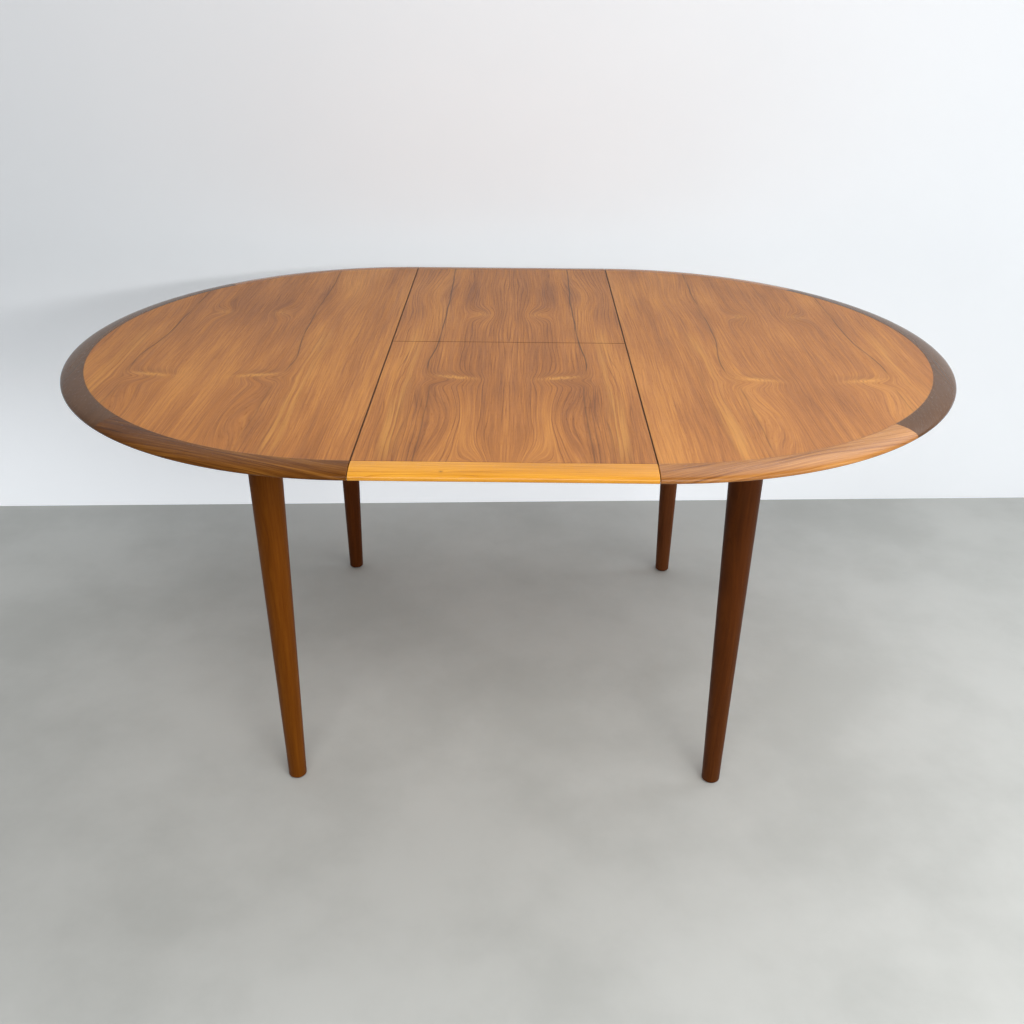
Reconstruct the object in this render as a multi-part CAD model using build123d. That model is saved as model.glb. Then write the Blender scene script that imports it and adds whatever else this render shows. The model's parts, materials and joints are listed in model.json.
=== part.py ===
from build123d import *
import math
import os

# Round extension dining table with a folding centre leaf, drawn with the leaf in place.
# Millimetres. The origin is on the floor at the table's centre: +X along the long axis,
# -Y to the front, +Z up.

# ---- overall sizes ----
table_height = 730.0
closed_diameter = 1200.0          # the two half tops pushed together make this circle
leaf_width = 448.0                # along X
top_thickness = 22.0
edging_width = 40.0               # solid wood round the veneered panels

# ---- seams and running gaps ----
top_seam_gap = 1.0                # between each half top and the leaf
fold_seam_gap = 0.6               # between the two leaf halves
leaf_lift_gap = 0.4               # the leaf's underside stands this far above the runners
frame_top_gap = 0.4               # the frame stays this far below the half tops
pin_clearance = 0.05              # radial, on every turning pin
slide_clearance = 0.4             # between runner and guide
side_clearance = 0.3              # beside swinging plates and links
cut_margin = 1.0                  # a cut runs this far past the face that it breaks through

# ---- edging section ----
shoulder_flat = 2.0               # level strip beside the panel, before the edging curves down
shoulder_drop = 10.5
nose_flat = 1.0
nose_round = 3.0
underside_bevel_run = 28.0
scarf_angle = 45.0                # where the end edging meets the front and rear edging

# ---- legs and glides ----
leg_centre_x = 393.0
leg_top_radius = 29.0
leg_foot_radius = 16.5
leg_runner_gap = 1.4              # between a leg's top and the runner that passes it
leg_foot_chamfer = 1.5
glide_radius = 13.0
glide_height = 3.0

# ---- aprons, blocks, bearers ----
apron_thickness = 20.0
apron_depth = 19.4                # below the bearers' tops, which the stowed leaf's depth sets
apron_setback = 2.0               # a side apron's outer face stands this far past the legs' centres
corner_block_reach = 78.0
corner_block_bottom = 2.0         # above the apron's lower edge
corner_block_gap = 1.4            # below the inner rails, and the stop blocks that pass over
bearer_width = 20.0
bearer_height = 19.0
bearer_inset = 32.0               # a bearer's centre stands this far in from the leaf's side edge
bumper_height = 3.0
bumper_radius = 8.0
bumper_inset = 78.0               # from the well's end rail
hanger_bolt_radius = 4.0
bolt_clearance = 0.5              # round a leg bolt, where it passes the aprons
leg_bolt_past_axis = 12.0         # how far a leg bolt runs past the leg's axis
leg_bolt_spare = 4.0              # thread standing out past the nut
washer_radius = 10.0
washer_thickness = 1.6
nut_across_flats = 13.0
nut_height = 6.5

# ---- runners and guides ----
runner_width = 18.0
runner_height = 34.0
runner_inner_end = 60.0           # X where a runner starts, under the leaf
runner_overhang = 70.0            # kept in from the panel's curved edge
groove_depth = 7.5
groove_height = 10.8
groove_centre_drop = 18.0         # below the runner's top
guide_body = 12.0                 # thickness of a guide rail without its tongue
guide_leg_gap = 1.0               # between a guide strip's end and the leg
runner_line_gap = 6.0             # between the inner and outer runners
well_clearance = 6.0              # beyond the stowed leaf, whose end swings out a little on its way in
notch_clearance = 2.0             # under the runners, in the side aprons
stop_block_height = 14.0
stop_block_length = 14.0
top_slide_travel = 40.0
stop_clearance = 0.5
runner_screw_radius = 2.0
runner_screw_head_radius = 4.0
runner_screw_head_height = 2.5
runner_screw_seat = 12.0          # depth of the counterbore
runner_screw_grip = 14.0          # how far a runner screw goes up into the panel
runner_screw_margin = 30.0        # from each end of the glued length
runner_screw_count = 4

# ---- swing-arm linkage that lowers the leaf ----
stow_headroom = 4.2               # between the stowed leaf and the half tops
arm_width = 16.0
arm_thickness = 4.0
arm_leaf_gap = 2.0                # between an arm's round end and the leaf's underside
arm_end_gap = 5.3                 # between the two arm pairs when they lie in line
arm_pin_radius = 4.0
rear_pivot_inset = 23.5           # the rear leaf pivot, in from the well's end rail
spacer_length = 2.5               # between an arm and its bearer
bracket_gap = 1.5                 # between an arm and a bracket's ear
bracket_thickness = 3.0
bracket_plate = 2.0
bracket_plate_width = 24.0
bracket_plate_length = 36.0
pin_head_overhang = 2.5
pin_head_height = 1.5
frame_pin_head_height = 1.0
tie_bar_radius = 5.0
spacer_wall = 3.0
bracket_screw_radius = 1.6
bracket_screw_head_radius = 3.2
bracket_screw_head_height = 1.6
bracket_screw_margin = 6.0
bracket_screw_grip = 9.0

# ---- concealed hinges in the leaf's fold ----
hinge_spacing = 150.0
link_inner_radius = 6.0
link_outer_radius = 13.0
link_half_angle = 72.0
link_width = 5.0
link_clearance = 0.3
slot_spare_angle = 2.0
cup_depth = 16.0
cup_width = 16.0
cup_cover = 1.0                   # wood left above each hinge cup

# ---- worked out ----
radius = closed_diameter / 2
half_leaf = leaf_width / 2
half_edge_x = half_leaf + top_seam_gap
panel_radius = radius - edging_width
top_under = table_height - top_thickness
leaf_under = top_under + leaf_lift_gap
leaf_thickness = table_height - leaf_under
fold_axis_z = table_height + fold_seam_gap / 2
frame_top = top_under - frame_top_gap
runner_bottom = top_under - runner_height

# the leaf folds to a double thickness, and lies centred in its well
stowed_drop = 2 * leaf_thickness + fold_seam_gap + leaf_lift_gap + stow_headroom
stowed_shift = (radius - link_outer_radius) / 2
rail_inner_y = radius - stowed_shift + well_clearance

bearer_top = leaf_under - stowed_drop - bumper_height
apron_bottom = bearer_top - apron_depth

# lines from the well outwards: rail, inner runner, outer runner, guide, apron, leg
inner_runner_y = rail_inner_y + guide_body + slide_clearance + runner_width / 2
outer_runner_y = inner_runner_y + runner_width + runner_line_gap
apron_inner_y = outer_runner_y + runner_width / 2 + slide_clearance + guide_body
apron_outer_y = apron_inner_y + apron_thickness
leg_centre_y = outer_runner_y + runner_width / 2 + leg_runner_gap + leg_top_radius
apron_outer_x = leg_centre_x + apron_setback
apron_inner_x = apron_outer_x - apron_thickness
tongue = groove_depth - slide_clearance
groove_z = top_under - groove_centre_drop
tongue_height = groove_height - 2 * slide_clearance
corner_block_z = apron_bottom + corner_block_bottom
corner_block_top = min(bearer_top, runner_bottom - stop_block_height) - corner_block_gap
corner_block_height = corner_block_top - corner_block_z

# an arm starts leaning to the rear and ends level, pointing to the front
arm_length = (stowed_shift ** 2 + stowed_drop ** 2) / (2 * stowed_shift)
arm_lean = stowed_shift - arm_length
arm_start_angle = math.degrees(math.atan2(stowed_drop, arm_lean))
leaf_pivot_z = leaf_under - arm_width / 2 - arm_leaf_gap
arm_pivot_height = leaf_pivot_z - stowed_drop
arm_spacing = arm_length + arm_width + arm_end_gap
rear_leaf_pivot_y = rail_inner_y - rear_pivot_inset
leaf_pivots = (rear_leaf_pivot_y, rear_leaf_pivot_y - arm_spacing)
frame_pivots = (rear_leaf_pivot_y - arm_lean, rear_leaf_pivot_y - arm_lean - arm_spacing)

# across the swing arms, from the bearer inwards
bearer_centre_x = half_leaf - bearer_inset
bearer_inner_x = bearer_centre_x - bearer_width / 2
bearer_outer_x = bearer_centre_x + bearer_width / 2
arm_outer_x = bearer_inner_x - spacer_length
arm_inner_x = arm_outer_x - arm_thickness
bracket_outer_x = arm_inner_x - bracket_gap
bracket_inner_x = bracket_outer_x - bracket_thickness
hinge_x = (-hinge_spacing, 0.0, hinge_spacing)

nodes = {}


def box(x0, x1, y0, y1, z0, z1):
    """Box between two corners."""
    solid = Box(abs(x1 - x0), abs(y1 - y0), abs(z1 - z0))
    return Pos((x0 + x1) / 2, (y0 + y1) / 2, (z0 + z1) / 2) * solid


def upright(r, x, y, z0, z1):
    """Vertical cylinder."""
    return Pos(x, y, (z0 + z1) / 2) * Cylinder(r, z1 - z0)


def along_x(r, x0, x1, y, z):
    """Cylinder along X."""
    return Pos((x0 + x1) / 2, y, z) * Rot(0, 90, 0) * Cylinder(r, abs(x1 - x0))


def join(shapes):
    """One compound of separate solids."""
    solids = []
    for shape in shapes:
        solids.extend(shape.solids())
    return Compound(children=solids)


def keep(name, shape):
    """File a finished piece under its node name."""
    nodes[name] = shape


def edging_section(under):
    """Edging outline in (outwards, up), with its inner face on the panel's edge."""
    nose_top = table_height - shoulder_drop
    nose_bottom = nose_top - nose_flat
    shoulder_in = panel_radius + shoulder_flat
    bevel_out = radius - nose_round
    bevel_in = bevel_out - underside_bevel_run
    top_line = Line((panel_radius, table_height), (shoulder_in, table_height))
    shoulder = EllipticalCenterArc((shoulder_in, nose_top), radius - shoulder_in, shoulder_drop,
                                   start_angle=0, arc_size=90)
    nose = Line((radius, nose_top), (radius, nose_bottom))
    lower = CenterArc((bevel_out, nose_bottom), nose_round, 270, 90)
    bevel = Line((bevel_out, nose_bottom - nose_round), (bevel_in, under))
    bottom = Line((bevel_in, under), (panel_radius, under))
    inner = Line((panel_radius, under), (panel_radius, table_height))
    return make_face(Curve() + [top_line, shoulder, nose, lower, bevel, bottom, inner])


def edging_arc(centre_x, start, sweep):
    """Curved edging round a half top, between two angles from +X."""
    section = Plane.XZ * edging_section(top_under)
    ring = revolve(section, Axis.Z, sweep)
    return Pos(centre_x, 0, 0) * Rot(0, 0, start) * ring


def half_top(side):
    """Panel, three edging lengths, two runners, stops and screws of one half top."""
    name = "right" if side > 0 else "left"
    centre_x = side * half_edge_x
    disc = upright(panel_radius, centre_x, 0, top_under, table_height)
    keep_side = box(centre_x, centre_x + side * radius, -radius, radius, top_under, table_height)
    keep(f"{name}_top_panel", disc & keep_side)
    facing = 0 if side > 0 else 180
    keep(f"{name}_end_edging", edging_arc(centre_x, facing - scarf_angle, 2 * scarf_angle))
    corner = 90 - scarf_angle
    rear_start = scarf_angle if side > 0 else 90
    front_start = -90 if side > 0 else 180 + scarf_angle
    keep(f"{name}_rear_edging", edging_arc(centre_x, rear_start, corner))
    keep(f"{name}_front_edging", edging_arc(centre_x, front_start, corner))
    stops = []
    screws = []
    for end, line_y in runner_lines(side):
        keep(f"{name}_{end}_runner", runner(side, line_y))
        stops.append(stop_block(side, line_y))
        screws.extend(runner_screw(*place) for place in screw_places(side, line_y))
    keep(f"{name}_stop_blocks", join(stops))
    keep(f"{name}_runner_screws", join(screws))


def runner_lines(side):
    """Each half top has one outer and one inner runner, turned half round from the other top's."""
    if side > 0:
        return [("front", -inner_runner_y), ("rear", outer_runner_y)]
    return [("front", -outer_runner_y), ("rear", inner_runner_y)]


def runner_outer_end(line_y):
    """X where a runner ends, under the panel's curved edge."""
    reach = abs(line_y) + runner_width / 2
    return half_edge_x + math.sqrt(panel_radius ** 2 - reach ** 2) - runner_overhang


def screw_places(side, line_y):
    """Runner screws stand in the solid part of the section, away from the groove."""
    first = half_edge_x + runner_screw_margin
    step = (runner_outer_end(line_y) - runner_screw_margin - first) / (runner_screw_count - 1)
    y = line_y - side * groove_depth / 2
    return [(side * (first + step * number), y) for number in range(runner_screw_count)]


def runner(side, line_y):
    """Grooved wooden runner, with counterbored screw holes."""
    far = runner_outer_end(line_y)
    body = box(side * runner_inner_end, side * far, line_y - runner_width / 2,
               line_y + runner_width / 2, runner_bottom, top_under)
    face = line_y + side * runner_width / 2
    body -= box(side * (runner_inner_end - cut_margin), side * (far + cut_margin),
                face, face - side * groove_depth, groove_z - groove_height / 2, groove_z + groove_height / 2)
    seat = runner_bottom + runner_screw_seat
    for x, y in screw_places(side, line_y):
        body -= upright(runner_screw_radius, x, y, seat, top_under)
        body -= upright(runner_screw_head_radius + side_clearance, x, y, runner_bottom, seat)
    return body


def runner_screw(x, y):
    """Screw up through a runner into the panel."""
    seat = runner_bottom + runner_screw_seat
    shank = upright(runner_screw_radius, x, y, seat, top_under + runner_screw_grip)
    return shank + upright(runner_screw_head_radius, x, y, seat - runner_screw_head_height, seat)


def stop_block(side, line_y):
    """Block under a runner that meets the side apron at the end of the travel."""
    outer = apron_inner_x - top_slide_travel - stop_clearance
    return box(side * (outer - stop_block_length), side * outer, line_y - runner_width / 2,
               line_y + runner_width / 2, runner_bottom - stop_block_height, runner_bottom)


def drill_panels():
    """Pilot holes in the panels for the runner screws."""
    for name, side in (("left", -1), ("right", 1)):
        panel = nodes[f"{name}_top_panel"]
        for _, line_y in runner_lines(side):
            for x, y in screw_places(side, line_y):
                panel -= upright(runner_screw_radius, x, y, top_under, top_under + runner_screw_grip)
        keep(f"{name}_top_panel", panel)


def leg_envelope(sx, sy):
    """The leg without its chamfer, for coping what meets it."""
    height = frame_top - glide_height
    cone = Cone(leg_foot_radius, leg_top_radius, height)
    return Pos(sx * leg_centre_x, sy * leg_centre_y, glide_height + height / 2) * cone


def leg(sx, sy):
    """Round tapered leg with a chamfered foot."""
    body = leg_envelope(sx, sy)
    return chamfer(body.edges().group_by(Axis.Z)[0], leg_foot_chamfer)


def hanger_bolt_line(sx, sy):
    """Place of a leg bolt: it runs from the leg's axis through the corner block, inwards."""
    z = corner_block_z + corner_block_height / 2
    start = Vector(sx * leg_centre_x, sy * leg_centre_y, z)
    inwards = Vector(-sx, -sy, 0).normalized()
    return start, inwards


def along_bolt(r, sx, sy, start, end):
    """Cylinder on a leg bolt's line, between two distances from the leg's axis."""
    origin, inwards = hanger_bolt_line(sx, sy)
    plane = Plane(origin=origin + inwards * ((start + end) / 2), z_dir=inwards)
    return plane * Cylinder(r, end - start)


def corner_block_face():
    """Distance from the leg's axis to the corner block's diagonal face."""
    corner = leg_centre_x - apron_inner_x + leg_centre_y - apron_inner_y
    return (corner + corner_block_reach) / math.sqrt(2)


def corner_block(sx, sy):
    """Triangular block that ties two aprons and a leg."""
    x = sx * apron_inner_x
    y = sy * apron_inner_y
    outline = Polyline((x, y), (x - sx * corner_block_reach, y), (x, y - sy * corner_block_reach), close=True)
    block = extrude(Pos(0, 0, corner_block_z) * make_face(outline), corner_block_height, dir=(0, 0, 1))
    block -= leg_envelope(sx, sy)
    return block - along_bolt(hanger_bolt_radius, sx, sy, 0, corner_block_face() + cut_margin)


def hanger_bolt(sx, sy):
    """Bolt set in the leg, standing out through the corner block."""
    end = corner_block_face() + washer_thickness + nut_height + leg_bolt_spare
    return along_bolt(hanger_bolt_radius, sx, sy, -leg_bolt_past_axis, end)


def washer(sx, sy):
    """Washer on the corner block's diagonal face."""
    face = corner_block_face()
    ring = along_bolt(washer_radius, sx, sy, face, face + washer_thickness)
    return ring - along_bolt(hanger_bolt_radius, sx, sy,
                             face - cut_margin, face + washer_thickness + cut_margin)


def nut(sx, sy):
    """Hexagon nut on a leg bolt."""
    start, inwards = hanger_bolt_line(sx, sy)
    seat = corner_block_face() + washer_thickness
    plane = Plane(origin=start + inwards * seat, z_dir=inwards)
    hexagon = plane * RegularPolygon(nut_across_flats / 2, 6, major_radius=False)
    body = extrude(hexagon, nut_height, dir=inwards)
    return body - along_bolt(hanger_bolt_radius, sx, sy, seat - cut_margin, seat + nut_height + cut_margin)


def side_apron(sx):
    """Apron under an end of the top, notched where the runners pass over it."""
    x0 = sx * apron_inner_x
    x1 = sx * apron_outer_x
    board = box(x0, x1, -apron_outer_y, apron_outer_y, apron_bottom, frame_top)
    notch_bottom = runner_bottom - notch_clearance
    for sy in (-1, 1):
        inner = sy * (rail_inner_y + guide_body - slide_clearance)
        board -= box(x0, x1, inner, sy * (apron_outer_y + cut_margin), notch_bottom, frame_top)
        board -= leg_envelope(sx, sy)
        board -= leg_bolt_clearance(sx, sy)
    return largest(board)


def end_apron(sy):
    """Front or rear apron between the legs."""
    board = box(-apron_outer_x, apron_outer_x, sy * apron_inner_y, sy * apron_outer_y,
                apron_bottom, frame_top)
    for sx in (-1, 1):
        board -= leg_envelope(sx, sy)
        board -= leg_bolt_clearance(sx, sy)
    return largest(board)


def leg_bolt_clearance(sx, sy):
    """Room for a leg bolt past the mitred ends of the aprons."""
    return along_bolt(hanger_bolt_radius + bolt_clearance, sx, sy, 0, corner_block_face())


def largest(shape):
    """The biggest solid of a cut shape."""
    return max(shape.solids(), key=lambda solid: solid.volume)


def outer_guide(sy):
    """Guide strip on an apron's inner face, with the tongue that the outer runner slides on."""
    end_x = leg_centre_x - leg_top_radius - guide_leg_gap
    y0 = sy * apron_inner_y
    y1 = sy * (apron_inner_y - guide_body)
    tip = sy * (apron_inner_y - guide_body - slide_clearance - tongue)
    strip = box(-end_x, end_x, y0, y1, runner_bottom, frame_top)
    return strip + box(-end_x, end_x, y1, tip, groove_z - tongue_height / 2, groove_z + tongue_height / 2)


def inner_rail(sy):
    """Rail between the side aprons: the leaf's well on one face, a runner's tongue on the other."""
    y0 = sy * rail_inner_y
    y1 = sy * (rail_inner_y + guide_body)
    tip = sy * (rail_inner_y + guide_body + slide_clearance + tongue)
    rail = box(-apron_inner_x, apron_inner_x, y0, y1, bearer_top, frame_top)
    return rail + box(-apron_inner_x, apron_inner_x, y1, tip,
                      groove_z - tongue_height / 2, groove_z + tongue_height / 2)


def bearer(sx):
    """Cross bearer between the front and rear aprons that carries the swing arms."""
    x0 = sx * bearer_inner_x
    x1 = sx * bearer_outer_x
    bar = box(x0, x1, -apron_inner_y, apron_inner_y, bearer_top - bearer_height, bearer_top)
    for y in frame_pivots:
        bar -= along_x(arm_pin_radius, x0, x1, y, arm_pivot_height)
    return bar


def arm(sx, frame_y, leaf_y):
    """Flat steel swing arm with round ends."""
    x0 = sx * arm_inner_x
    x1 = sx * arm_outer_x
    middle = Pos((x0 + x1) / 2, (frame_y + leaf_y) / 2, (arm_pivot_height + leaf_pivot_z) / 2)
    plate = middle * Rot(arm_start_angle, 0, 0) * Box(arm_thickness, arm_length, arm_width)
    plate += along_x(arm_width / 2, x0, x1, frame_y, arm_pivot_height)
    plate += along_x(arm_width / 2, x0, x1, leaf_y, leaf_pivot_z)
    hole = arm_pin_radius + pin_clearance
    plate -= along_x(hole, x0, x1, frame_y, arm_pivot_height)
    return plate - along_x(hole, x0, x1, leaf_y, leaf_pivot_z)


def tie_bar():
    """Round bar that keeps the left and right rear arms in step."""
    y = (frame_pivots[0] + leaf_pivots[0]) / 2
    z = (arm_pivot_height + leaf_pivot_z) / 2
    return along_x(tie_bar_radius, -arm_inner_x, arm_inner_x, y, z)


def frame_pin(sx, y):
    """Headed pin fixed in a bearer, that an arm turns on."""
    head_x = sx * (arm_inner_x - side_clearance)
    shank = along_x(arm_pin_radius, head_x, sx * bearer_outer_x, y, arm_pivot_height)
    head_radius = arm_pin_radius + pin_head_overhang
    return shank + along_x(head_radius, head_x - sx * frame_pin_head_height, head_x, y, arm_pivot_height)


def spacer(sx, y):
    """Nylon spacer between an arm and its bearer."""
    x0 = sx * (arm_outer_x + side_clearance)
    x1 = sx * bearer_inner_x
    ring = along_x(arm_pin_radius + spacer_wall, x0, x1, y, arm_pivot_height)
    return ring - along_x(arm_pin_radius, x0, x1, y, arm_pivot_height)


def bracket(sx, y):
    """Angle bracket under the leaf: a plate against the wood and an ear for the arm's pin."""
    x0 = sx * bracket_inner_x
    x1 = sx * bracket_outer_x
    half = bracket_plate_length / 2
    plate = box(x1, x1 - sx * bracket_plate_width, y - half, y + half, leaf_under - bracket_plate, leaf_under)
    ear = box(x0, x1, y - arm_width / 2, y + arm_width / 2, leaf_pivot_z, leaf_under)
    ear += along_x(arm_width / 2, x0, x1, y, leaf_pivot_z)
    body = plate + ear - along_x(arm_pin_radius, x0, x1, y, leaf_pivot_z)
    for hole_x, hole_y in bracket_screw_places(sx, y):
        body -= upright(bracket_screw_radius, hole_x, hole_y, leaf_under - bracket_plate, leaf_under)
    return body


def bracket_screw_places(sx, y):
    """Two screws through each bracket's plate."""
    x = sx * (bracket_inner_x - (bracket_plate_width - bracket_thickness) / 2)
    step = bracket_plate_length / 2 - bracket_screw_margin
    return [(x, y - step), (x, y + step)]


def bracket_screw(x, y):
    """Small round-head screw up into the leaf."""
    head_z = leaf_under - bracket_plate
    shank = upright(bracket_screw_radius, x, y, head_z, leaf_under + bracket_screw_grip)
    return shank + upright(bracket_screw_head_radius, x, y, head_z - bracket_screw_head_height, head_z)


def leaf_pin(sx, y):
    """Pin fixed in a bracket's ear, that an arm's free end turns on."""
    head_x = sx * (arm_outer_x + side_clearance)
    shank = along_x(arm_pin_radius, sx * bracket_inner_x, head_x, y, leaf_pivot_z)
    head_radius = arm_pin_radius + pin_head_overhang
    return shank + along_x(head_radius, head_x, head_x + sx * pin_head_height, y, leaf_pivot_z)


def leaf_half(sy):
    """Panel and edging of one leaf half."""
    name = "rear" if sy > 0 else "front"
    panel = box(-half_leaf, half_leaf, sy * fold_seam_gap / 2, sy * panel_radius, leaf_under, table_height)
    for x in hinge_x:
        panel -= cup_block(x, sy)
    section = Plane.YZ * edging_section(leaf_under)
    edging = Pos(-half_leaf, 0, 0) * extrude(section, leaf_width, dir=(1, 0, 0))
    if sy < 0:
        edging = mirror(edging, Plane.XZ)
    if sy > 0:
        for sx in (-1, 1):
            for y in leaf_pivots:
                for hole_x, hole_y in bracket_screw_places(sx, y):
                    panel -= upright(bracket_screw_radius, hole_x, hole_y,
                                     leaf_under, leaf_under + bracket_screw_grip)
    keep(f"{name}_leaf_panel", panel)
    keep(f"{name}_leaf_edging", edging)


def cup_block(x, sy):
    """Mortise for a hinge cup."""
    y0 = sy * fold_seam_gap / 2
    return box(x - cup_width / 2, x + cup_width / 2, y0, y0 + sy * cup_depth,
               table_height - cup_cover - cup_depth, table_height - cup_cover)


def arc_band(x0, x1, r0, r1, half_angle):
    """Ring sector hanging under the fold axis, in the YZ plane, between two radii."""
    start = -90 - half_angle
    points = [(r1, start), (r0, start), (r0, start + 2 * half_angle), (r1, start + 2 * half_angle)]
    places = [(r * math.cos(math.radians(a)), r * math.sin(math.radians(a))) for r, a in points]
    outer = CenterArc((0, 0), r1, start, 2 * half_angle)
    inner = CenterArc((0, 0), r0, start, 2 * half_angle)
    first = Line(places[0], places[1])
    last = Line(places[2], places[3])
    section = Plane.YZ * make_face(Curve() + [outer, inner, first, last])
    band = extrude(section, x1 - x0, dir=(1, 0, 0))
    return Pos(x0, 0, fold_axis_z) * band


def hinge_cup(x, sy):
    """Brass cup with the curved slot that the two links slide in."""
    slot_half = link_half_angle + slot_spare_angle
    slot = arc_band(x - link_width - link_clearance * 2, x + link_width + link_clearance * 2,
                    link_inner_radius - link_clearance, link_outer_radius + link_clearance, slot_half)
    return cup_block(x, sy) - slot


def hinge_link(x, side):
    """Curved link of a concealed hinge; two of them lie side by side."""
    x0 = x + link_clearance / 2 if side > 0 else x - link_clearance / 2 - link_width
    return arc_band(x0, x0 + link_width, link_inner_radius, link_outer_radius, link_half_angle)


def build_frame():
    """Legs, aprons, blocks, rails, bearers and fixed pivots."""
    corners = [("front_left", -1, -1), ("front_right", 1, -1), ("rear_left", -1, 1), ("rear_right", 1, 1)]
    glides = []
    bolts = []
    washers = []
    nuts = []
    for name, sx, sy in corners:
        bolt = hanger_bolt(sx, sy)
        keep(f"{name}_leg", leg(sx, sy) - bolt)
        keep(f"{name}_corner_block", corner_block(sx, sy))
        glides.append(upright(glide_radius, sx * leg_centre_x, sy * leg_centre_y, 0, glide_height))
        bolts.append(bolt)
        washers.append(washer(sx, sy))
        nuts.append(nut(sx, sy))
    keep("leg_glides", join(glides))
    keep("leg_bolts", join(bolts))
    keep("leg_bolt_washers", join(washers))
    keep("leg_bolt_nuts", join(nuts))
    keep("left_apron", side_apron(-1))
    keep("right_apron", side_apron(1))
    keep("front_apron", end_apron(-1))
    keep("rear_apron", end_apron(1))
    keep("front_outer_guide", outer_guide(-1))
    keep("rear_outer_guide", outer_guide(1))
    keep("front_inner_rail", inner_rail(-1))
    keep("rear_inner_rail", inner_rail(1))
    keep("left_bearer", bearer(-1))
    keep("right_bearer", bearer(1))
    bumper_y = rail_inner_y - bumper_inset
    pads = [upright(bumper_radius, sx * bearer_centre_x, sy * bumper_y, bearer_top,
                    bearer_top + bumper_height - slide_clearance) for sx in (-1, 1) for sy in (-1, 1)]
    keep("leaf_bumpers", join(pads))
    keep("frame_pivot_pins", join([frame_pin(sx, y) for sx in (-1, 1) for y in frame_pivots]))
    keep("pivot_spacers", join([spacer(sx, y) for sx in (-1, 1) for y in frame_pivots]))


def build_leaf():
    """Both leaf halves, their hinges, brackets and swing arms."""
    leaf_half(1)
    leaf_half(-1)
    keep("rear_hinge_cups", join([hinge_cup(x, 1) for x in hinge_x]))
    keep("front_hinge_cups", join([hinge_cup(x, -1) for x in hinge_x]))
    keep("rear_hinge_links", join([hinge_link(x, -1) for x in hinge_x]))
    keep("front_hinge_links", join([hinge_link(x, 1) for x in hinge_x]))
    keep("leaf_brackets", join([bracket(sx, y) for sx in (-1, 1) for y in leaf_pivots]))
    screws = [bracket_screw(x, place_y) for sx in (-1, 1) for y in leaf_pivots
              for x, place_y in bracket_screw_places(sx, y)]
    keep("bracket_screws", join(screws))
    keep("leaf_pivot_pins", join([leaf_pin(sx, y) for sx in (-1, 1) for y in leaf_pivots]))
    for end, frame_y, leaf_y in zip(("rear", "front"), frame_pivots, leaf_pivots):
        keep(f"left_{end}_arm", arm(-1, frame_y, leaf_y))
        keep(f"right_{end}_arm", arm(1, frame_y, leaf_y))
    keep("arm_tie_bar", tie_bar())


build_frame()
half_top(-1)
half_top(1)
drill_panels()
build_leaf()

os.makedirs("parts", exist_ok=True)
for node, shape in nodes.items():
    export_step(shape, f"parts/{node}.step")
print("arms", round(arm_length, 2), "start angle", round(arm_start_angle, 4))
print("frame pivots", frame_pivots, arm_pivot_height, "leaf pivots", leaf_pivots, leaf_pivot_z)
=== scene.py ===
import json
import math
import bpy
from mathutils import Euler, Matrix, Vector


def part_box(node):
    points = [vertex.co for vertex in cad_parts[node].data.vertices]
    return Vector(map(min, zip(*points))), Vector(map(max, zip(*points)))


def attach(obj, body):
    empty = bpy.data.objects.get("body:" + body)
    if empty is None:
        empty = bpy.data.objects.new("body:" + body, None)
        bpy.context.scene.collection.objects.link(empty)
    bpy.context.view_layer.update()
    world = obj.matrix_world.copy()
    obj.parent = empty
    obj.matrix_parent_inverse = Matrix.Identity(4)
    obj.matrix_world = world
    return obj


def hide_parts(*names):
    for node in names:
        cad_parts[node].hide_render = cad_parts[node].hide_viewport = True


# Extension dining table: its visible wood is remade here as fine meshes with procedural wood, on the
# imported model's places. Everything is in metres, in the model's own frame.

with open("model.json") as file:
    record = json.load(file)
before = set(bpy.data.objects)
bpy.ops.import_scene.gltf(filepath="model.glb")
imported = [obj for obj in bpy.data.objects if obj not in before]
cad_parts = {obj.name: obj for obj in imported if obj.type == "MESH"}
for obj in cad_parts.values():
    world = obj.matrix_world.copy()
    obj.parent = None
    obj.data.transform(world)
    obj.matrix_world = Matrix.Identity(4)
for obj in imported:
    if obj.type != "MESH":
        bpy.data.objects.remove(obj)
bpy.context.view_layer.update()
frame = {"nodes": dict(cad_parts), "record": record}

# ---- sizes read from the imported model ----
top_panel = {side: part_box(f"{side}_top_panel") for side in ("left", "right")}
top_z = top_panel["right"][1].z
top_under = top_panel["right"][0].z
seam_x = top_panel["right"][0].x
panel_radius = top_panel["right"][1].x - seam_x
outer_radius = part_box("right_end_edging")[1].x - seam_x
leaf_low, leaf_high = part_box("rear_leaf_panel")
fold_y = leaf_low.y
leaf_under = leaf_low.z

# ---- edging section, and how finely things are drawn ----
SHOULDER_FLAT = 0.002
SHOULDER_DROP = 0.0105
NOSE_FLAT = 0.001
NOSE_ROUND = 0.003
BEVEL_RUN = 0.028
SCARF = math.radians(45)
ARC_STEP = math.radians(1.0)
SHOULDER_STEPS = 32
NOSE_STEPS = 8
FOOT_STEPS = 6
LEG_SIDES = 96
SEAM_ROUND = 0.0010
GLUE_ROUND = 0.25                 # share of the seam's round at a glue line
ON_SEAM = 1e-5                    # a point this near a seam counts as on it
CREASE = math.radians(35)         # edges sharper than this stay crisp

# ---- legs and glides ----
FOOT_RADIUS = 0.0165
FOOT_ROUND = 0.0016
GLIDE_RADIUS = 0.013
GLIDE_ROUND = 0.0008

# ---- softened edges of the pieces kept from the model ----
WOOD_BEVEL = 0.0007
METAL_BEVEL = 0.0002
BEVEL_FROM = math.radians(40)     # edges sharper than this are softened

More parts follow.
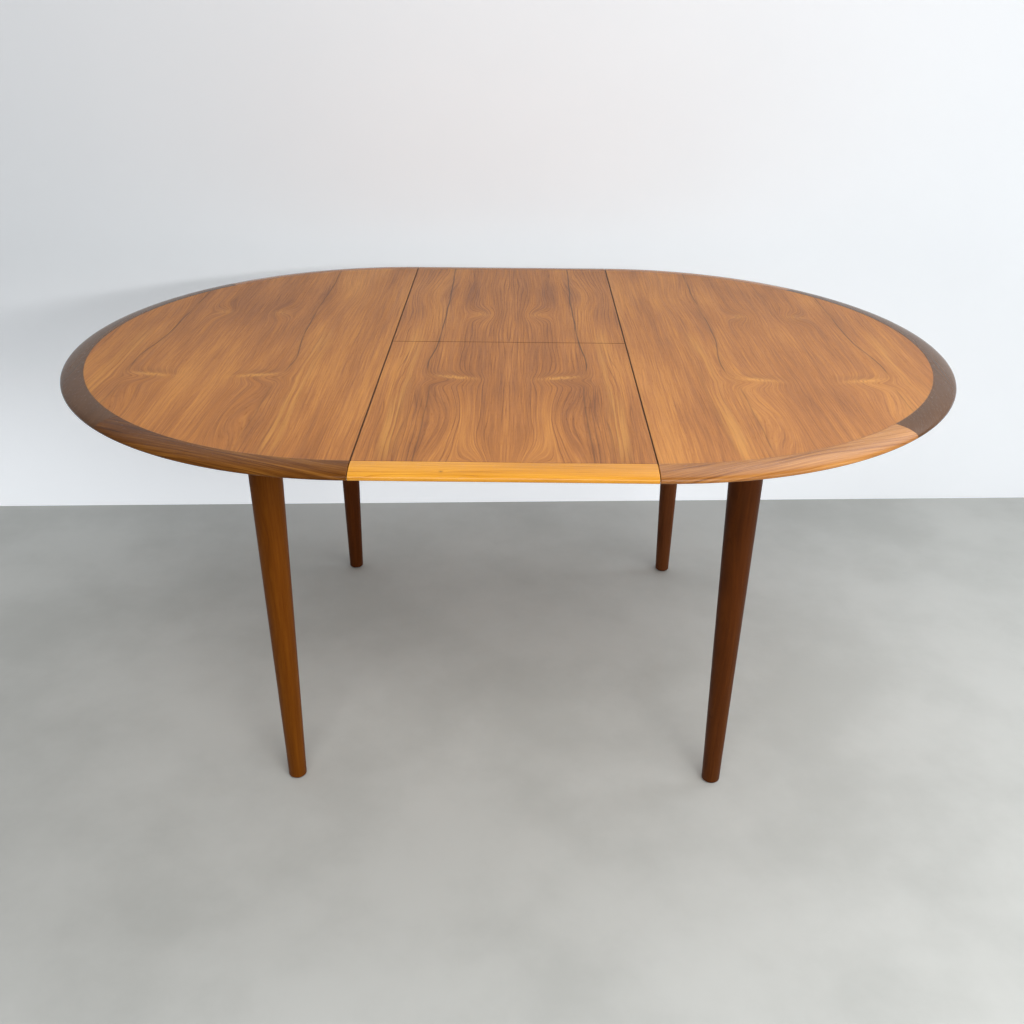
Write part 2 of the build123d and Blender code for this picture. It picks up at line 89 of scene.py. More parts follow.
# ---- camera, wall and lights ----
CAMERA_PLACE = (0.0214, -1.9625, 1.3659)
CAMERA_PITCH = math.radians(27.08)
CAMERA_YAW = math.radians(-0.364)
CAMERA_ROLL = math.radians(0.455)
CAMERA_LENS = 37.14
WALL_Y = 0.774
WALL_TURN = math.radians(2.45)
BACKDROP_SIZE = 14.0


# ======== meshes ========

def mesh_object(name, points, faces, seam=None):
    """Closed mesh; when seam is given, its edges are softened: full round where seam(point) is true, a trace
    elsewhere.
    """
    mesh = bpy.data.meshes.new(name)
    mesh.from_pydata([tuple(p) for p in points], [], faces)
    mesh.validate()
    mesh.update()
    piece = bpy.data.objects.new(name, mesh)
    bpy.context.scene.collection.objects.link(piece)
    mesh.shade_smooth()
    mesh.set_sharp_from_angle(angle=CREASE)
    if seam:
        weights = mesh.attributes.new("bevel_weight_edge", "FLOAT", "EDGE")
        sharp = mesh.attributes.get("sharp_edge")
        for edge in mesh.edges:
            if sharp is None or not sharp.data[edge.index].value:
                continue
            ends = [mesh.vertices[v].co for v in edge.vertices]
            weights.data[edge.index].value = 1.0 if all(seam(p) for p in ends) else GLUE_ROUND
        bevel = piece.modifiers.new("soft edges", "BEVEL")
        bevel.limit_method = "WEIGHT"
        bevel.width = SEAM_ROUND
        bevel.segments = 3
        bevel.harden_normals = True
    return piece


def edging_outline(under):
    """Edging section as (distance outwards, height), from the glue line over the nose and back."""
    nose_top = top_z - SHOULDER_DROP
    nose_bottom = nose_top - NOSE_FLAT
    run = outer_radius - panel_radius - SHOULDER_FLAT
    points = [(panel_radius, top_z)]
    for step in range(SHOULDER_STEPS + 1):
        angle = math.pi / 2 * (1 - step / SHOULDER_STEPS)
        points.append((outer_radius - run * (1 - math.cos(angle)),
                       nose_top + SHOULDER_DROP * math.sin(angle)))
    for step in range(NOSE_STEPS + 1):
        angle = math.pi / 2 * step / NOSE_STEPS
        points.append((outer_radius - NOSE_ROUND * (1 - math.cos(angle)),
                       nose_bottom - NOSE_ROUND * math.sin(angle)))
    points.append((outer_radius - NOSE_ROUND - BEVEL_RUN, under))
    points.append((panel_radius, under))
    return points


def sweep(name, outline, places, seam):
    """Carries an outline through a list of placing functions and closes both ends."""
    count = len(outline)
    points = [place(out, up) for place in places for out, up in outline]
    faces = []
    for ring in range(len(places) - 1):
        for spot in range(count):
            after = (spot + 1) % count
            faces.append((ring * count + spot, ring * count + after,
                          (ring + 1) * count + after, (ring + 1) * count + spot))
    faces.append(tuple(reversed(range(count))))
    last = (len(places) - 1) * count
    faces.append(tuple(range(last, last + count)))
    return mesh_object(name, points, faces, seam)


def arc_edging(name, centre_x, start, end):
    """Curved edging length between two angles from +X."""
    def place_at(angle):
        return lambda out, up: (centre_x + out * math.cos(angle), out * math.sin(angle), up)

    def on_seam(point):
        return abs(point.x - centre_x) < ON_SEAM

    steps = max(2, round(abs(end - start) / ARC_STEP))
    places = [place_at(start + (end - start) * step / steps) for step in range(steps + 1)]
    return sweep(name, edging_outline(top_under), places, on_seam)


def straight_edging(name, side):
    """Edging of one leaf half."""
    def place_at(x):
        return lambda out, up: (x, side * out, up)

    def on_seam(point):
        return min(abs(point.x - x) for x in ends) < ON_SEAM

    ends = [leaf_low.x, leaf_high.x]
    if side < 0:
        ends.reverse()
    return sweep(name, edging_outline(leaf_under), [place_at(x) for x in ends], on_seam)


def slab(name, outline, under, seam):
    """Flat board with the given outline, counter-clockwise."""
    count = len(outline)
    points = [(x, y, under) for x, y in outline] + [(x, y, top_z) for x, y in outline]
    faces = [tuple(reversed(range(count))), tuple(range(count, 2 * count))]
    for spot in range(count):
        after = (spot + 1) % count
        faces.append((spot, after, count + after, count + spot))
    return mesh_object(name, points, faces, seam)


def half_disc(name, side):
    """Panel of one half top."""
    centre_x = side * seam_x
    reach = side * panel_radius
    steps = round(math.pi / ARC_STEP)
    angles = [math.pi * (step / steps - 0.5) for step in range(steps + 1)]
    outline = [(centre_x + reach * math.cos(a), reach * math.sin(a)) for a in angles]
    return slab(name, outline, top_under, lambda point: abs(point.x - centre_x) < ON_SEAM)


def leaf_panel(name, side):
    """Panel of one leaf half."""
    def on_seam(point):
        return abs(abs(point.x) - x) < ON_SEAM or abs(point.y - fold) < ON_SEAM

    x = leaf_high.x
    fold = side * fold_y
    low, high = sorted((fold, side * panel_radius))
    return slab(name, [(-x, low), (x, low), (x, high), (-x, high)], leaf_under, on_seam)


def lathe(name, centre, outline):
    """Turned piece: outline is a list of (radius, height) from the bottom to the top."""
    points = []
    faces = []
    for radius, height in outline:
        for spot in range(LEG_SIDES):
            angle = 2 * math.pi * spot / LEG_SIDES
            x = centre.x + radius * math.cos(angle)
            y = centre.y + radius * math.sin(angle)
            points.append((x, y, height))
    for ring in range(len(outline) - 1):
        for spot in range(LEG_SIDES):
            after = (spot + 1) % LEG_SIDES
            faces.append((ring * LEG_SIDES + spot, ring * LEG_SIDES + after,
                          (ring + 1) * LEG_SIDES + after, (ring + 1) * LEG_SIDES + spot))
    faces.append(tuple(reversed(range(LEG_SIDES))))
    last = (len(outline) - 1) * LEG_SIDES
    faces.append(tuple(range(last, last + LEG_SIDES)))
    return mesh_object(name, points, faces)


def rounded_foot(radius, height, amount):
    """Quarter round at a turned piece's lower edge, as (radius, height)."""
    points = []
    for step in range(FOOT_STEPS + 1):
        angle = math.pi / 2 * step / FOOT_STEPS
        points.append((radius - amount * (1 - math.sin(angle)), height + amount * (1 - math.cos(angle))))
    return points


# ======== shader maths ========

class Num:
    """A number in a material's maths. Arithmetic on it adds Math nodes."""

    def __init__(self, look, socket):
        self.look = look
        self.socket = socket

    def made(self, operation, *others):
        return self.look.math(operation, self, *others)

    def __add__(self, other):
        return self.made("ADD", other)

    __radd__ = __add__

    def __sub__(self, other):
        return self.made("SUBTRACT", other)

    def __mul__(self, other):
        return self.made("MULTIPLY", other)

    def __truediv__(self, other):
        return self.made("DIVIDE", other)

    def __abs__(self):
        return self.made("ABSOLUTE")

    def squared(self):
        return self.made("POWER", 2.0)

    def root(self):
        return self.made("SQRT")


class Look:
    """A material under construction."""

    def __init__(self, name):
        self.material = bpy.data.materials.new(name)
        self.material.use_nodes = True
        self.tree = self.material.node_tree
        self.shader = self.tree.nodes["Principled BSDF"]

    def feed(self, value, socket):
        if isinstance(value, Num):
            self.tree.links.new(value.socket, socket)
        else:
            socket.default_value = value

    def math(self, operation, *values):
        node = self.tree.nodes.new("ShaderNodeMath")
        node.operation = operation
        for value, socket in zip(values, node.inputs):
            self.feed(value, socket)
        return Num(self, node.outputs[0])

    def place(self):
        """Object coordinates, which are the model's own metres at rest."""
        coords = self.tree.nodes.new("ShaderNodeTexCoord")
        split = self.tree.nodes.new("ShaderNodeSeparateXYZ")
        self.tree.links.new(coords.outputs["Object"], split.inputs[0])
        return [Num(self, socket) for socket in split.outputs]

    def noise(self, x, y, z=0.0, detail=2.0, roughness=0.5):
        """Smooth noise between 0 and 1, about 0.5 on average."""
        join = self.tree.nodes.new("ShaderNodeCombineXYZ")
        for value, socket in zip((x, y, z), join.inputs):
            self.feed(value, socket)
        node = self.tree.nodes.new("ShaderNodeTexNoise")
        node.inputs["Scale"].default_value = 1.0
        node.inputs["Detail"].default_value = detail
        node.inputs["Roughness"].default_value = roughness
        self.tree.links.new(join.outputs[0], node.inputs["Vector"])
        return Num(self, node.outputs["Fac"])

    def bell(self, value, centre, width):
        """1 at the centre, falling smoothly to 0 a couple of widths away."""
        return (((value - centre) / width).squared() * -1.0).made("EXPONENT")

    def ease(self, value, low, high, start=0.0, end=1.0):
        """Smooth step from start to end as value goes from low to high."""
        node = self.tree.nodes.new("ShaderNodeMapRange")
        node.interpolation_type = "SMOOTHSTEP"
        self.feed(value, node.inputs["Value"])
        for name, number in (("From Min", low), ("From Max", high), ("To Min", start), ("To Max", end)):
            node.inputs[name].default_value = number
        return Num(self, node.outputs["Result"])

    def ramp(self, value, stops):
        """Colour from a list of (position, colour)."""
        node = self.tree.nodes.new("ShaderNodeValToRGB")
        self.feed(value, node.inputs["Fac"])
        elements = node.color_ramp.elements
        while len(elements) < len(stops):
            elements.new(0.5)
        for element, (position, colour) in zip(elements, stops):
            element.position = position
            element.color = (*colour, 1.0)
        return Num(self, node.outputs["Color"])

    def mix(self, share, first, second):
        """Blend of two colours. Inputs 6 and 7 and output 2 are the node's colour sockets."""
        node = self.tree.nodes.new("ShaderNodeMix")
        node.data_type = "RGBA"
        self.feed(share, node.inputs["Factor"])
        for value, socket in zip((first, second), (node.inputs[6], node.inputs[7])):
            self.feed(value if isinstance(value, Num) else (*value, 1.0), socket)
        return Num(self, node.outputs[2])

    def finish(self, colour, roughness, height, depth, metallic=0.0, gloss=0.5):
        """Wires colour, roughness and bump to the shader; depth is the bump's full height."""
        self.feed(colour, self.shader.inputs["Base Color"])
        self.feed(roughness, self.shader.inputs["Roughness"])
        self.shader.inputs["Metallic"].default_value = metallic
        self.shader.inputs["Specular IOR Level"].default_value = gloss
        bump = self.tree.nodes.new("ShaderNodeBump")
        bump.inputs["Strength"].default_value = 1.0
        bump.inputs["Distance"].default_value = depth
        self.feed(height, bump.inputs["Height"])
        self.tree.links.new(bump.outputs["Normal"], self.shader.inputs["Normal"])
        return self.material


# ======== wood ========

# Layers of the grain: waves in a metre across the growth rings, and along the fibres
PATCH_WAVES = (9.0, 2.2)
BAND_WAVES = (22.0, 0.9)
WANDER_WAVES = (30.0, 3.0)
CLUSTER_WAVES = (34.0, 2.6)
STREAK_WAVES = (120.0, 2.0)
FIBRE_WAVES = (430.0, 8.0)
PORE_WAVES = (1300.0, 60.0)
RINGS_PER_METRE = 130.0


def grain(look, ring, along, seed, palette, contrast, sheen, lines=0.5):
    """Wood colour from two fields: ring crosses the growth rings, along runs with the fibres.

    Soft patches, bands, streaks and fibres are noise stretched along the fibres. Thin dark lines follow
    some of the rings, and short dark pores follow the fibres. Returns colour, roughness and height.
    """
    def layer(waves, shift, detail=2.0, roughness=0.5):
        return look.noise(ring * waves[0], along * waves[1], seed + shift, detail, roughness)

    patch = layer(PATCH_WAVES, 31.0)
    band = layer(BAND_WAVES, 0.0)
    streak = layer(STREAK_WAVES, 3.1, 3.0, 0.6)
    fibre = layer(FIBRE_WAVES, 7.7, 4.0, 0.7)
    late = (ring * RINGS_PER_METRE + layer(WANDER_WAVES, 11.0) * 4.0).made("FRACT").made("POWER", 8.0)
    late = late * look.ease(layer(CLUSTER_WAVES, 17.0), 0.42, 0.62) * lines
    pores = look.ease(layer(PORE_WAVES, 23.0, 1.0), 0.60, 0.74)
    broad = (patch - 0.5) * 0.70 + (band - 0.5) * 0.45
    tone = 0.5 + (broad + (streak - 0.5) * 0.38 + (fibre - 0.5) * 0.95) * contrast
    tone = tone - late * (0.55 * contrast) - pores * 0.10
    roughness = sheen + (streak - 0.5) * 0.16 + pores * 0.12
    height = fibre * 0.5 + streak * 0.3 - pores * 0.8 - late * 0.4
    return look.ramp(tone, palette), roughness, height


def shades(dark, middle, light):
    """Ramp stops for a wood."""
    return [(0.12, dark), (0.5, middle), (0.88, light)]


TOP_SHADES = shades((0.215, 0.070, 0.017), (0.425, 0.158, 0.034), (0.640, 0.275, 0.058))
GOLD = (0.70, 0.335, 0.070)
LINE_BROWN = (0.105, 0.040, 0.016)
SEAM_BROWN = (0.045, 0.020, 0.010)
SEAM_DIRT_AND_SHADE = 0.0011                # how far finish, dirt and painted gap shade darken a seam's edge

# Figure of one veneer sheet, by distance from the mirror line between two matched sheets and by Y:
# (distance, Y, half-width across, half-width along, how far it pushes the grain aside)
KNOT = (0.098, -0.210, 0.042, 0.024, 0.026)
REAR_KNOT = (0.058, 0.185, 0.024, 0.040, 0.026)
SWIRLS = [KNOT,
          (0.090, -0.400, 0.038, 0.150, 0.034),
          (0.045, -0.610, 0.026, 0.080, 0.058),
          REAR_KNOT,
          (0.175, 0.330, 0.050, 0.110, -0.015)]
DARK_LINE = 0.132                 # distance of the dark wavy line from the mirror line
DARK_LINE_WIDTH = 0.0013
SIDE_LINES = (0.009, 0.016, 0.024)
SIDE_LINE_WIDTH = 0.0007
GOLD_STREAK = 0.178
EYE_TILT = -0.20
VENEER_SHEEN = 0.43
VENEER_GLOSS = 0.17


def veneer_ring(look, across, y, sheet):
    """Growth-ring field of a veneer sheet, wavering and pushed aside by its swirls."""
    ring = across + (look.noise(across * 5.0, y * 1.5, sheet) - 0.5) * 0.030
    ring = ring + (look.noise(across * 30.0, y * 8.0, sheet + 2.0) - 0.5) * 0.005
    for distance, place_y, half_across, half_along, push in SWIRLS:
        ring = ring + look.bell(across, distance, half_across) * look.bell(y, place_y, half_along) * push
    return ring


def draw_dark_lines(look, colour, across, y, sheet, seed, lines):
    """The dark wavy line with its soft shadow, and thinner lines beside it at the front."""
    path = across + (look.noise(y * 5.0, sheet * 3.0, 5.0) - 0.5) * 0.014 - look.bell(y, -0.12, 0.10) * 0.012
    faint = look.ease(look.noise(y * 7.0, seed, 9.0), 0.34, 0.52, 0.35, 1.0)
    fade = look.ease(abs(y + 0.205), 0.02, 0.07) * look.ease(y, -0.28, -0.16, 0.55, 1.0)
    line = look.bell(path, DARK_LINE, DARK_LINE_WIDTH) * faint * fade * (0.60 + lines * 0.35)
    for aside in SIDE_LINES:
        wavering = path + (look.noise(y * 6.0, aside * 900.0) - 0.5) * 0.006
        side_line = look.bell(wavering, DARK_LINE + aside, SIDE_LINE_WIDTH)
        line = line + side_line * look.ease(y, -0.20, -0.32) * (0.25 + lines * 0.25)
    shadow = look.bell(path, DARK_LINE, 0.010) * 0.10
    return look.mix(line + shadow, colour, LINE_BROWN)


def draw_gold(look, colour, ring, across, y, sheet, seed):
    """The golden streak, and the pale feathered eyes at the two knots."""
    broken = look.ease(look.noise(ring * 160.0, y * 3.0, seed + 40.0), 0.35, 0.62)
    streak = look.bell(ring, GOLD_STREAK, 0.012) * look.ease(abs(y + 0.25), 0.36, 0.22) * broken
    colour = look.mix(streak * 0.52, colour, GOLD)
    feather = look.ease(look.noise(across * 260.0, y * 60.0, sheet), 0.30, 0.60)
    eye_y = y + (across - KNOT[0]) * EYE_TILT - KNOT[1] - 0.012
    eye = look.bell(across, KNOT[0] - 0.006, 0.034) * look.bell(eye_y, 0.0, 0.0075) * feather
    rear_eye = look.bell(across, REAR_KNOT[0], 0.016) * look.bell(y, REAR_KNOT[1], 0.016) * feather
    colour = look.mix(eye * 0.75 + rear_eye * 0.35, colour, GOLD)
    lee = look.bell(across, KNOT[0] - 0.012, 0.040) * look.bell(eye_y, 0.020, 0.012)
    return look.mix(lee * 0.16, colour, LINE_BROWN)


def veneer(name, mirror_x, seed, lines, borders):
    """Book-matched veneer: two sheets mirrored about X = mirror_x, grain along Y.

    borders(x, y) gives pairs of a distance from a seam and how strongly it is darkened: by dirt, and by
    painted shade where a seam or the fold is a gap.
    """
    look = Look(name)
    x, y, _ = look.place()
    across = abs(x - mirror_x)
    sheet = (x - mirror_x).made("GREATER_THAN", 0.0) * 0.12 + seed
    ring = veneer_ring(look, across, y, sheet)
    colour, roughness, height = grain(look, ring, y, sheet, TOP_SHADES, 1.0, VENEER_SHEEN, lines)
    colour = draw_dark_lines(look, colour, across, y, sheet, seed, lines)
    colour = draw_gold(look, colour, ring, across, y, sheet, seed)
    # darker along the seams, the fold and the glue lines: dirt, plus painted shade standing in for the gaps
    # at the seams and the fold
    for distance, strength in borders(x, y):
        colour = look.mix(look.bell(distance, 0.0, SEAM_DIRT_AND_SHADE) * strength, colour, SEAM_BROWN)
    return look.finish(colour, roughness, height, depth=0.00008, gloss=VENEER_GLOSS)


def edging_wood(name, turn, seed, palette, contrast, sheen=0.22, gloss=0.14):
    """Solid edging: the grain runs straight along the length's chord, turned from +X."""
    look = Look(name)
    x, y, z = look.place()
    along = x * math.cos(turn) + y * math.sin(turn)
    across = y * math.cos(turn) - x * math.sin(turn)
    ring = across * 0.75 + z * 0.9 + (look.noise(along * 2.4, across * 4.0, seed) - 0.5) * 0.030
    colour, roughness, height = grain(look, ring, along, seed, palette, contrast, sheen, 0.7)
    return look.finish(colour, roughness, height, depth=0.00003, gloss=gloss)


PIN_KNOT = (-0.090, -0.588)       # X and Y on the leaf's golden edging


def golden_edging_wood(name, seed):
    """Golden edging with fine straight lines along X and one tiny pin knot."""
    look = Look(name)
    x, y, z = look.place()
    knot = look.bell(x, PIN_KNOT[0], 0.012) * look.bell(y, PIN_KNOT[1], 0.006)
    ring = y * 0.9 + z * 0.7 + (look.noise(x * 1.6, y * 3.0, seed) - 0.5) * 0.008 + knot * 0.004
    colour, roughness, height = grain(look, ring, x, seed, EDGING_SHADES["leaf"], 0.90, 0.20, 0.8)
    eye = look.bell(x, PIN_KNOT[0], 0.0030) * look.bell(y, PIN_KNOT[1], 0.0018)
    colour = look.mix(eye * 0.6, colour, LINE_BROWN)
    return look.finish(colour, roughness, height, depth=0.00007, gloss=0.36)


def leg_wood(name, place, seed, palette):
    """Turned leg: the rings are round an axis beside the leg, and the grain runs up it."""
    look = Look(name)
    x, y, z = look.place()
    away_x = x - place.x - 0.050 + z * 0.020
    away_y = y - place.y - 0.035 + (look.noise(z * 1.6, seed) - 0.5) * 0.03
    ring = (away_x.squared() + away_y.squared()).root()
    colour, roughness, height = grain(look, ring, z, seed, palette, 0.75, 0.42, 0.35)
    scuff = look.ease(look.noise(x * 90.0, y * 90.0, z * 14.0, detail=4.0), 0.60, 0.70)
    roughness = roughness + scuff * look.ease(z, 0.12, 0.0, 0.05, 0.25)
    return look.finish(colour, roughness, height, depth=0.00010, gloss=0.07)


def plain_wood(name, seed, palette):
    """Planed timber of the frame: grain along its longer horizontal side."""
    look = Look(name)
    x, y, z = look.place()
    ring = z * 1.4 + (look.noise(x * 2.0, y * 2.0, seed) - 0.5) * 0.04
    colour, roughness, height = grain(look, ring, x + y, seed, palette, 0.7, 0.55)
    return look.finish(colour, roughness, height, depth=0.00015, gloss=0.3)


def metal(name, colour, roughness, brush):
    """Plated or polished metal with fine brushing and faint stains."""
    look = Look(name)
    x, y, z = look.place()
    marks = look.noise(x * 900.0, y * brush, z * 900.0, detail=2.0)
    stain = look.noise(x * 40.0, y * 40.0, z * 40.0, detail=4.0)
    dull = tuple(part * 0.72 for part in colour)
    shade = look.mix(look.ease(stain, 0.42, 0.70), colour, dull)
    worn = roughness + (marks - 0.5) * 0.18 + (stain - 0.5) * 0.20
    return look.finish(shade, worn, marks, depth=0.00003, metallic=1.0)


def moulded(name, colour, roughness, scale):
    """Moulded plastic or rubber with a fine skin texture."""
    look = Look(name)
    x, y, z = look.place()
    skin = look.noise(x * scale, y * scale, z * scale, detail=3.0)
    patch = look.noise(x * 60.0, y * 60.0, z * 60.0, detail=3.0)
    paler = tuple(min(1.0, part * 1.5 + 0.01) for part in colour)
    shade = look.mix(look.ease(patch, 0.45, 0.72) * 0.6, colour, paler)
    return look.finish(shade, roughness + (patch - 0.5) * 0.2, skin, depth=0.00005)


# ======== the table's pieces ========

def dress(piece, material, body, *nodes):
    """Gives a new piece its material, the body it rides on and the CAD node it stands for."""
    piece.data.materials.append(material)
    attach(piece, body)
    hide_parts(*nodes)


EDGING_SHADES = {
    "end": shades((0.052, 0.020, 0.006), (0.112, 0.048, 0.016), (0.185, 0.090, 0.036)),
    "left": shades((0.038, 0.010, 0.001), (0.140, 0.046, 0.005), (0.320, 0.130, 0.022)),
    "right": shades((0.130, 0.038, 0.008), (0.370, 0.145, 0.032), (0.560, 0.250, 0.062)),
    "rear": shades((0.170, 0.060, 0.018), (0.330, 0.130, 0.040), (0.480, 0.210, 0.070)),
    "leaf": shades((0.400, 0.148, 0.009), (0.660, 0.275, 0.020), (0.840, 0.415, 0.048)),
}

EDGING_GLOSS = {"left": 0.14, "right": 0.30, "rear": 0.14}
MIRROR_PLACE = 0.310              # a half top's mirror line, outwards from the seam
# how strongly each border darkens: finish and dirt at the glue lines, dirt and painted gap shade at the
# seams and the fold
SEAM_DARKNESS = 0.8
GLUE_DARKNESS = 0.3
FOLD_DARKNESS = 1.0
HALF_TOP_LINES = 0.35
LEAF_LINES = 1.0


def build_half_top(side):
    """Panel and three edging lengths of one half top."""
    def borders(x, y):
        out = ((x - centre_x).squared() + y.squared()).root()
        return [(x - centre_x, SEAM_DARKNESS), (out - panel_radius, GLUE_DARKNESS)]

    name = "right" if side > 0 else "left"
    body = f"{name}_top"
    centre_x = side * seam_x
    mirror_x = side * (seam_x + MIRROR_PLACE)
    panel = half_disc(f"{name}_panel", side)
    wood = veneer(f"{name}_veneer", mirror_x, 2.0 + side, HALF_TOP_LINES, borders)
    dress(panel, wood, body, f"{name}_top_panel")
    quarter = math.pi / 2
    middle = 0.0 if side > 0 else math.pi
    end = arc_edging(f"{name}_end_length", centre_x, middle - SCARF, middle + SCARF)
    dress(end, edging_wood(f"{name}_end_wood", quarter, 20.0 + side, EDGING_SHADES["end"], 0.45),
          body, f"{name}_end_edging")
    for place, facing in (("front", -1), ("rear", 1)):
        low, high = sorted((facing * quarter, facing * SCARF))
        if side < 0:
            low, high = math.pi - high, math.pi - low
        length = arc_edging(f"{name}_{place}_length", centre_x, low, high)
        turn = -side * facing * SCARF / 2
        kind = "rear" if facing > 0 else name
        wood = edging_wood(f"{name}_{place}_wood", turn, 31.0 + 3 * side + facing,
                           EDGING_SHADES[kind], 1.1, 0.20, EDGING_GLOSS[kind])
        dress(length, wood, body, f"{name}_{place}_edging")


def build_leaf():
    """Both leaf halves: their figure runs through the fold."""
    def borders(x, y):
        return [(y, FOLD_DARKNESS), (abs(x) - leaf_high.x, SEAM_DARKNESS),
                (abs(y) - panel_radius, GLUE_DARKNESS)]

    wood = veneer("leaf_veneer", 0.0, 4.0, LEAF_LINES, borders)
    golden = golden_edging_wood("leaf_front_wood", 44.0)
    brown = edging_wood("leaf_rear_wood", 0.0, 47.0, EDGING_SHADES["rear"], 0.8)
    for place, side, edge in (("front", -1, golden), ("rear", 1, brown)):
        dress(leaf_panel(f"{place}_leaf_board", side), wood, f"{place}_leaf", f"{place}_leaf_panel")
        dress(straight_edging(f"{place}_leaf_edge", side), edge, f"{place}_leaf", f"{place}_leaf_edging")


LEG_SHADES = {
    "front_left": shades((0.055, 0.013, 0.0006), (0.140, 0.037, 0.0010), (0.240, 0.075, 0.0040)),
    "front_right": shades((0.032, 0.007, 0.0008), (0.084, 0.021, 0.0022), (0.150, 0.044, 0.0060)),
    "rear_left": shades((0.034, 0.008, 0.0012), (0.088, 0.021, 0.0030), (0.150, 0.042, 0.0070)),
    "rear_right": shades((0.050, 0.013, 0.0030), (0.125, 0.037, 0.0100), (0.210, 0.070, 0.0180)),
}


def build_legs():
    """Turned legs and the glides under them."""
    glide_low, glide_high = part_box("leg_glides")
    plastic = moulded("glide_plastic", (0.020, 0.016, 0.014), 0.5, 900.0)
    for number, (name, palette) in enumerate(LEG_SHADES.items()):
        low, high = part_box(f"{name}_leg")
        centre = (low + high) / 2
        top_radius = (high.x - low.x) / 2
        outline = rounded_foot(FOOT_RADIUS, low.z, FOOT_ROUND) + [(top_radius, high.z)]
        leg = lathe(f"{name}_turned_leg", centre, outline)
        dress(leg, leg_wood(f"{name}_leg_wood", centre, 50.0 + 4 * number, palette), "frame", f"{name}_leg")
        outline = rounded_foot(GLIDE_RADIUS, glide_low.z, GLIDE_ROUND) + [(GLIDE_RADIUS, glide_high.z)]
        glide = lathe(f"{name}_glide", centre, outline)
        dress(glide, plastic, "frame", "leg_glides")


def dress_cad_nodes():
    """Materials and softened edges for the CAD nodes that stay."""
    timber = shades((0.14, 0.075, 0.032), (0.32, 0.19, 0.095), (0.48, 0.32, 0.17))
    made = {
        "frame_wood": plain_wood("frame_timber", 70.0, timber),
        "steel": metal("zinc_steel", (0.55, 0.56, 0.57), 0.38, 60.0),
        "brass": metal("satin_brass", (0.70, 0.50, 0.22), 0.32, 60.0),
        "nylon": moulded("white_nylon", (0.62, 0.60, 0.55), 0.5, 700.0),
        "rubber": moulded("black_rubber", (0.018, 0.018, 0.018), 0.75, 500.0),
    }
    for row in frame["record"]["subparts"]:
        node = frame["nodes"][row["node"]]
        if row["material_slot"] not in made:
            continue
        node.data.materials.clear()
        node.data.materials.append(made[row["material_slot"]])
        bevel = node.modifiers.new("soft edges", "BEVEL")
        bevel.limit_method = "ANGLE"
        bevel.angle_limit = BEVEL_FROM
        bevel.width = WOOD_BEVEL if row["material_slot"] == "frame_wood" else METAL_BEVEL
        bevel.segments = 2
        bevel.harden_normals = True


# ======== surroundings ========

def stage_plane(name, size, place, turn, material):
    """Flat backdrop piece."""
    half = size / 2
    corners = [(-half, -half, 0), (half, -half, 0), (half, half, 0), (-half, half, 0)]
    mesh = bpy.data.meshes.new(name)
    mesh.from_pydata(corners, [], [(0, 1, 2, 3)])
    plane = bpy.data.objects.new(name, mesh)
    bpy.context.scene.collection.objects.link(plane)
    plane.matrix_world = Matrix.Translation(place) @ Euler(turn).to_matrix().to_4x4()
    mesh.materials.append(material)


def one_sided(look):
    """Makes a backdrop clear from behind, so that it never hides the table."""
    geometry = look.tree.nodes.new("ShaderNodeNewGeometry")
    clear = look.tree.nodes.new("ShaderNodeBsdfTransparent")
    mix = look.tree.nodes.new("ShaderNodeMixShader")
    look.tree.links.new(geometry.outputs["Backfacing"], mix.inputs["Fac"])
    look.tree.links.new(look.shader.outputs["BSDF"], mix.inputs[1])
    look.tree.links.new(clear.outputs["BSDF"], mix.inputs[2])
    look.tree.links.new(mix.outputs["Shader"], look.tree.nodes["Material Output"].inputs["Surface"])


def backdrop(name, colour, darker, scale, roughness, glow=None):
    """Pale floor or wall with a faint unevenness; glow(look, x, y) is a wall's own soft light."""
    look = Look(name)
    x, y, z = look.place()
    cloud = look.noise(x * scale, y * scale, z * scale, detail=6.0, roughness=0.6)
    shade = look.mix(look.ease(cloud, 0.35, 0.68), colour, darker)
    if glow:
        look.shader.inputs["Emission Color"].default_value = (*colour, 1.0)
        look.feed(glow(look, x, y), look.shader.inputs["Emission Strength"])
    one_sided(look)
    return look.finish(shade, roughness, cloud, depth=0.0006, gloss=0.3)


def wall_glow(look, x, y):
    """Soft light of the wall: more to the right, near the floor, and high up on the right."""
    low = look.ease(y, 0.75, 0.0, 0.0, 0.40) * look.ease(x, 1.3, 0.4, 0.25, 1.0)
    high = look.ease(y, 1.40, 1.9) * look.ease(x, 0.0, 1.2, 0.0, 2.4)
    return look.ease(x, -1.3, 0.3, 0.06, 0.14) + low + high


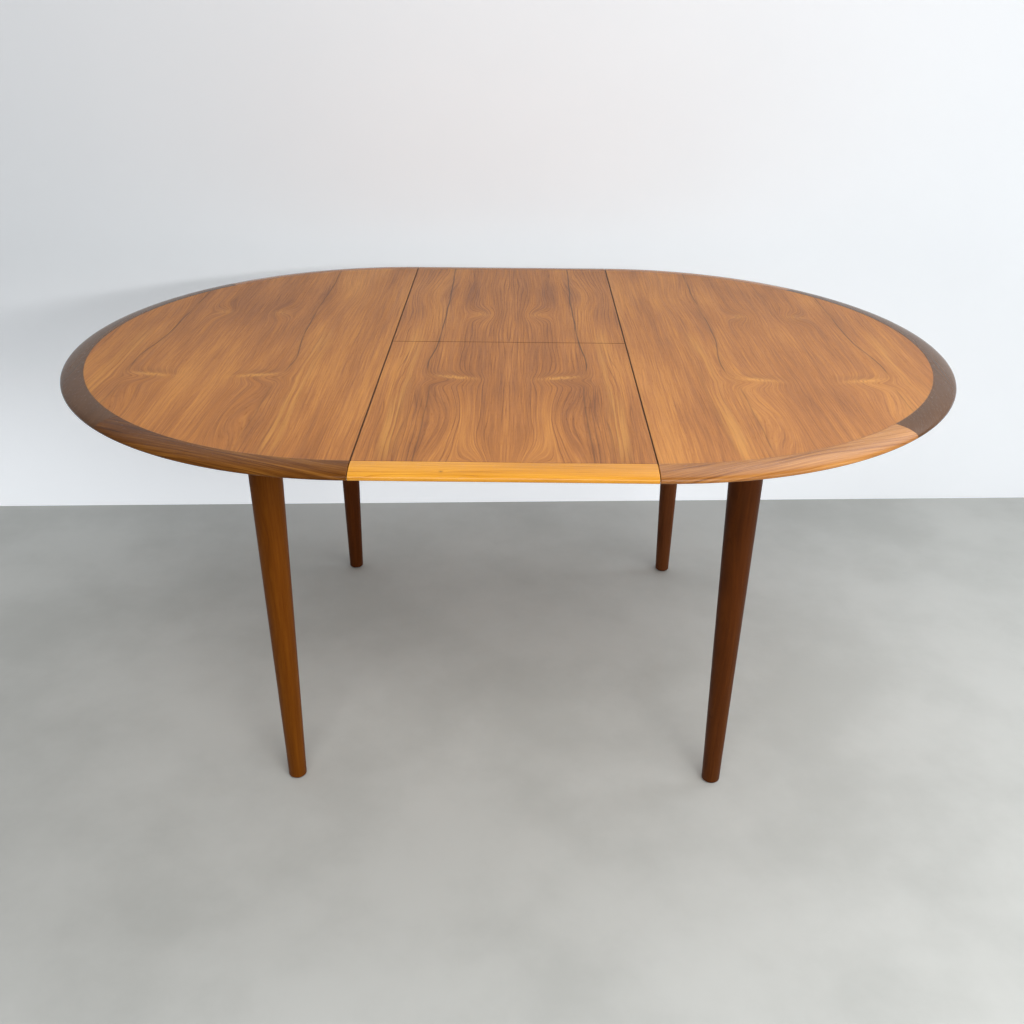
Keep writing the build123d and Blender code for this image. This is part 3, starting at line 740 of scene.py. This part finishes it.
def build_surroundings():
    """Floor, wall and camera."""
    floor = backdrop("pale_floor", (0.55, 0.56, 0.54), (0.47, 0.48, 0.46), 2.2, 0.75)
    wall = backdrop("pale_wall", (0.80, 0.83, 0.87), (0.78, 0.81, 0.85), 1.0, 0.9, wall_glow)
    stage_plane("floor", BACKDROP_SIZE, Vector((0, 0, 0)), (0, 0, 0), floor)
    stage_plane("wall", BACKDROP_SIZE, Vector((0, WALL_Y, 0)), (math.pi / 2, 0, WALL_TURN), wall)
    camera = bpy.data.objects.new("camera", bpy.data.cameras.new("camera"))
    bpy.context.scene.collection.objects.link(camera)
    camera.data.lens = CAMERA_LENS
    camera.data.sensor_width = 36.0
    aim = Euler((math.pi / 2 - CAMERA_PITCH, 0, -CAMERA_YAW)).to_matrix().to_4x4()
    camera.matrix_world = Matrix.Translation(CAMERA_PLACE) @ aim @ Matrix.Rotation(CAMERA_ROLL, 4, "Z")
    bpy.context.scene.camera = camera


def area_light(name, place, target, size, power, colour):
    """Soft light that faces a point."""
    light = bpy.data.objects.new(name, bpy.data.lights.new(name, "AREA"))
    bpy.context.scene.collection.objects.link(light)
    light.data.shape = "RECTANGLE"
    light.data.size, light.data.size_y = size
    light.data.energy = power
    light.data.color = colour
    facing = (Vector(target) - Vector(place)).to_track_quat("-Z", "Y")
    light.matrix_world = Matrix.Translation(place) @ facing.to_matrix().to_4x4()


def build_lights():
    """Soft studio light: a pale surround, a broad light above the front and a long one to the right."""
    world = bpy.data.worlds.new("soft surround")
    bpy.context.scene.world = world
    world.use_nodes = True
    backing = world.node_tree.nodes["Background"]
    backing.inputs["Color"].default_value = (0.94, 0.97, 1.0, 1.0)
    backing.inputs["Strength"].default_value = 0.32
    area_light("broad", (0.25, -2.3, 2.7), (0.1, 0.0, 0.6), (2.4, 1.2), 50.0, (1.0, 0.98, 0.95))
    area_light("side", (1.97, -2.14, 1.5), (0.45, -0.45, 0.72), (3.2, 0.16), 42.0, (1.0, 0.99, 0.97))
    bpy.context.scene.view_settings.view_transform = "Standard"


build_half_top(-1)
build_half_top(1)
build_leaf()
build_legs()
dress_cad_nodes()
build_surroundings()
build_lights()
